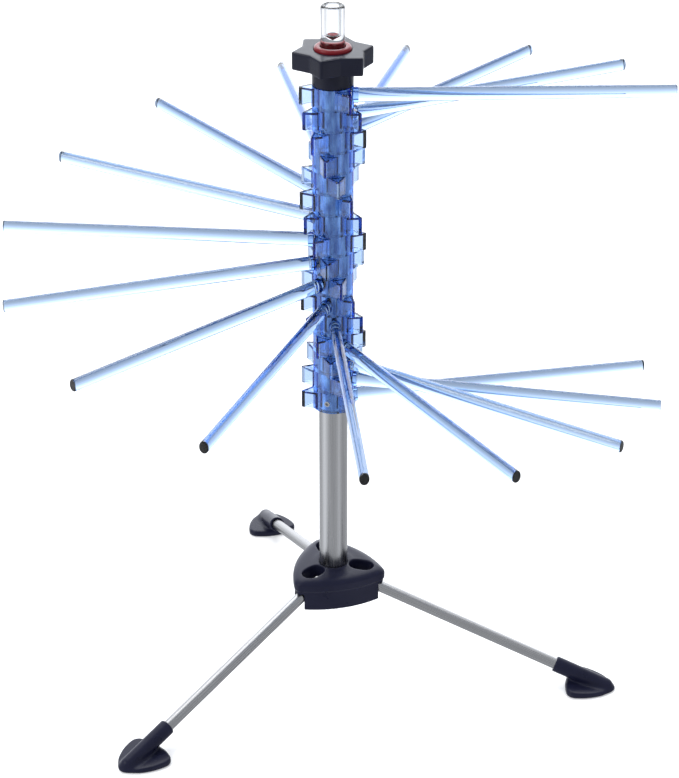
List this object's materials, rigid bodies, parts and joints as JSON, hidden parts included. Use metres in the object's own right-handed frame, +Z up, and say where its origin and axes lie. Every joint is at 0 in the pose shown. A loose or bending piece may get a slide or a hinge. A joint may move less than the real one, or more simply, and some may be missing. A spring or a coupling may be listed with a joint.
{
  "type": "pasta drying rack",
  "caption": "Free-standing pasta drying rack whose clear rods fan out on turning collars round a tube on folding legs, with a star knob and a lift-out wand.",
  "frame": {"origin": "on the table under the column's axis, with the rack standing open", "axes": "+Z up along the column; the rear leg points along +Y and the other two lie at 120 degrees to it"},
  "size_m": [0.4494, 0.4453, 0.4908],
  "materials": {
    "clear_blue_rod": "clear, pale blue, glossy",
    "clear_blue_collar": "clear, deep blue, glossy",
    "black_plastic": "satin moulded",
    "navy_plastic": "satin moulded",
    "red_plastic": "glossy",
    "clear_plastic": "clear, glossy",
    "washer_plastic": "natural acetal",
    "satin_aluminium": "satin anodised",
    "steel": "plain"
  },
  "bodies": {
    "stand": {"base_hub": "navy_plastic", "column_tube": "satin_aluminium", "column_plug": "navy_plastic", "column_screw": "steel", "leg_pins": "steel", "retaining_clip": "steel", "collar_16": "clear_blue_collar", "rod_16": "clear_blue_rod", "collar_screw": "steel"},
    "fan_01": {"collar_01": "clear_blue_collar", "rod_01": "clear_blue_rod", "knob": "black_plastic", "drive_pins": "steel", "guide_ring": "red_plastic", "friction_washer": "washer_plastic"},
    "fan_02": {"collar_02": "clear_blue_collar", "rod_02": "clear_blue_rod"},
    "fan_03": {"collar_03": "clear_blue_collar", "rod_03": "clear_blue_rod"},
    "fan_04": {"collar_04": "clear_blue_collar", "rod_04": "clear_blue_rod"},
    "fan_05": {"collar_05": "clear_blue_collar", "rod_05": "clear_blue_rod"},
    "fan_06": {"collar_06": "clear_blue_collar", "rod_06": "clear_blue_rod"},
    "fan_07": {"collar_07": "clear_blue_collar", "rod_07": "clear_blue_rod"},
    "fan_08": {"collar_08": "clear_blue_collar", "rod_08": "clear_blue_rod"},
    "fan_09": {"collar_09": "clear_blue_collar", "rod_09": "clear_blue_rod"},
    "fan_10": {"collar_10": "clear_blue_collar", "rod_10": "clear_blue_rod"},
    "fan_11": {"collar_11": "clear_blue_collar", "rod_11": "clear_blue_rod"},
    "fan_12": {"collar_12": "clear_blue_collar", "rod_12": "clear_blue_rod"},
    "fan_13": {"collar_13": "clear_blue_collar", "rod_13": "clear_blue_rod"},
    "fan_14": {"collar_14": "clear_blue_collar", "rod_14": "clear_blue_rod"},
    "fan_15": {"collar_15": "clear_blue_collar", "rod_15": "clear_blue_rod"},
    "wand": {"wand": "clear_plastic"},
    "leg_rear": {"leg_tube_rear": "satin_aluminium", "foot_rear": "navy_plastic"},
    "leg_left": {"leg_tube_left": "satin_aluminium", "foot_left": "navy_plastic"},
    "leg_right": {"leg_tube_right": "satin_aluminium", "foot_right": "navy_plastic"}
  },
  "joints": [
    {"name": "fan_turn_01", "type": "hinge", "parent": "stand", "child": "fan_01", "pos_m": [0, 0, 0], "axis": [0, 0, 1], "range_deg": [0, 370.05]},
    {"name": "fan_turn_02", "type": "hinge", "parent": "stand", "child": "fan_02", "pos_m": [0, 0, 0], "axis": [0, 0, 1], "range_deg": [0, 345.28]},
    {"name": "fan_turn_03", "type": "hinge", "parent": "stand", "child": "fan_03", "pos_m": [0, 0, 0], "axis": [0, 0, 1], "range_deg": [0, 321.01]},
    {"name": "fan_turn_04", "type": "hinge", "parent": "stand", "child": "fan_04", "pos_m": [0, 0, 0], "axis": [0, 0, 1], "range_deg": [0, 295.94]},
    {"name": "fan_turn_05", "type": "hinge", "parent": "stand", "child": "fan_05", "pos_m": [0, 0, 0], "axis": [0, 0, 1], "range_deg": [0, 272.07]},
    {"name": "fan_turn_06", "type": "hinge", "parent": "stand", "child": "fan_06", "pos_m": [0, 0, 0], "axis": [0, 0, 1], "range_deg": [0, 247.2]},
    {"name": "fan_turn_07", "type": "hinge", "parent": "stand", "child": "fan_07", "pos_m": [0, 0, 0], "axis": [0, 0, 1], "range_deg": [0, 222.73]},
    {"name": "fan_turn_08", "type": "hinge", "parent": "stand", "child": "fan_08", "pos_m": [0, 0, 0], "axis": [0, 0, 1], "range_deg": [0, 197.96]},
    {"name": "fan_turn_09", "type": "hinge", "parent": "stand", "child": "fan_09", "pos_m": [0, 0, 0], "axis": [0, 0, 1], "range_deg": [0, 172.99]},
    {"name": "fan_turn_10", "type": "hinge", "parent": "stand", "child": "fan_10", "pos_m": [0, 0, 0], "axis": [0, 0, 1], "range_deg": [0, 147.52]},
    {"name": "fan_turn_11", "type": "hinge", "parent": "stand", "child": "fan_11", "pos_m": [0, 0, 0], "axis": [0, 0, 1], "range_deg": [0, 122.15]},
    {"name": "fan_turn_12", "type": "hinge", "parent": "stand", "child": "fan_12", "pos_m": [0, 0, 0], "axis": [0, 0, 1], "range_deg": [0, 97.18]},
    {"name": "fan_turn_13", "type": "hinge", "parent": "stand", "child": "fan_13", "pos_m": [0, 0, 0], "axis": [0, 0, 1], "range_deg": [0, 72.01]},
    {"name": "fan_turn_14", "type": "hinge", "parent": "stand", "child": "fan_14", "pos_m": [0, 0, 0], "axis": [0, 0, 1], "range_deg": [0, 46.94]},
    {"name": "fan_turn_15", "type": "hinge", "parent": "stand", "child": "fan_15", "pos_m": [0, 0, 0], "axis": [0, 0, 1], "range_deg": [0, 23.37]},
    {"name": "wand_lift", "type": "slide", "parent": "stand", "child": "wand", "axis": [0, 0, 1], "range_m": [0, 0.395]},
    {"name": "leg_fold_rear", "type": "hinge", "parent": "stand", "child": "leg_rear", "pos_m": [0, 0.023, 0.06488], "axis": [-1, 0, 0], "range_deg": [0, 70.5]},
    {"name": "leg_fold_left", "type": "hinge", "parent": "stand", "child": "leg_left", "pos_m": [-0.01992, -0.0115, 0.06488], "axis": [0.5, -0.866, 0], "range_deg": [0, 70.5]},
    {"name": "leg_fold_right", "type": "hinge", "parent": "stand", "child": "leg_right", "pos_m": [0.01992, -0.0115, 0.06488], "axis": [0.5, 0.866, 0], "range_deg": [0, 70.5]}
  ],
  "couplings": [
    {"joint": "fan_turn_02", "follows": "fan_turn_01", "ratio": 0.93306},
    {"joint": "fan_turn_03", "follows": "fan_turn_01", "ratio": 0.86748},
    {"joint": "fan_turn_04", "follows": "fan_turn_01", "ratio": 0.79973},
    {"joint": "fan_turn_05", "follows": "fan_turn_01", "ratio": 0.73522},
    {"joint": "fan_turn_06", "follows": "fan_turn_01", "ratio": 0.66802},
    {"joint": "fan_turn_07", "follows": "fan_turn_01", "ratio": 0.60189},
    {"joint": "fan_turn_08", "follows": "fan_turn_01", "ratio": 0.53495},
    {"joint": "fan_turn_09", "follows": "fan_turn_01", "ratio": 0.46748},
    {"joint": "fan_turn_10", "follows": "fan_turn_01", "ratio": 0.39865},
    {"joint": "fan_turn_11", "follows": "fan_turn_01", "ratio": 0.33009},
    {"joint": "fan_turn_12", "follows": "fan_turn_01", "ratio": 0.26261},
    {"joint": "fan_turn_13", "follows": "fan_turn_01", "ratio": 0.1946},
    {"joint": "fan_turn_14", "follows": "fan_turn_01", "ratio": 0.12685},
    {"joint": "fan_turn_15", "follows": "fan_turn_01", "ratio": 0.063154}
  ]
}
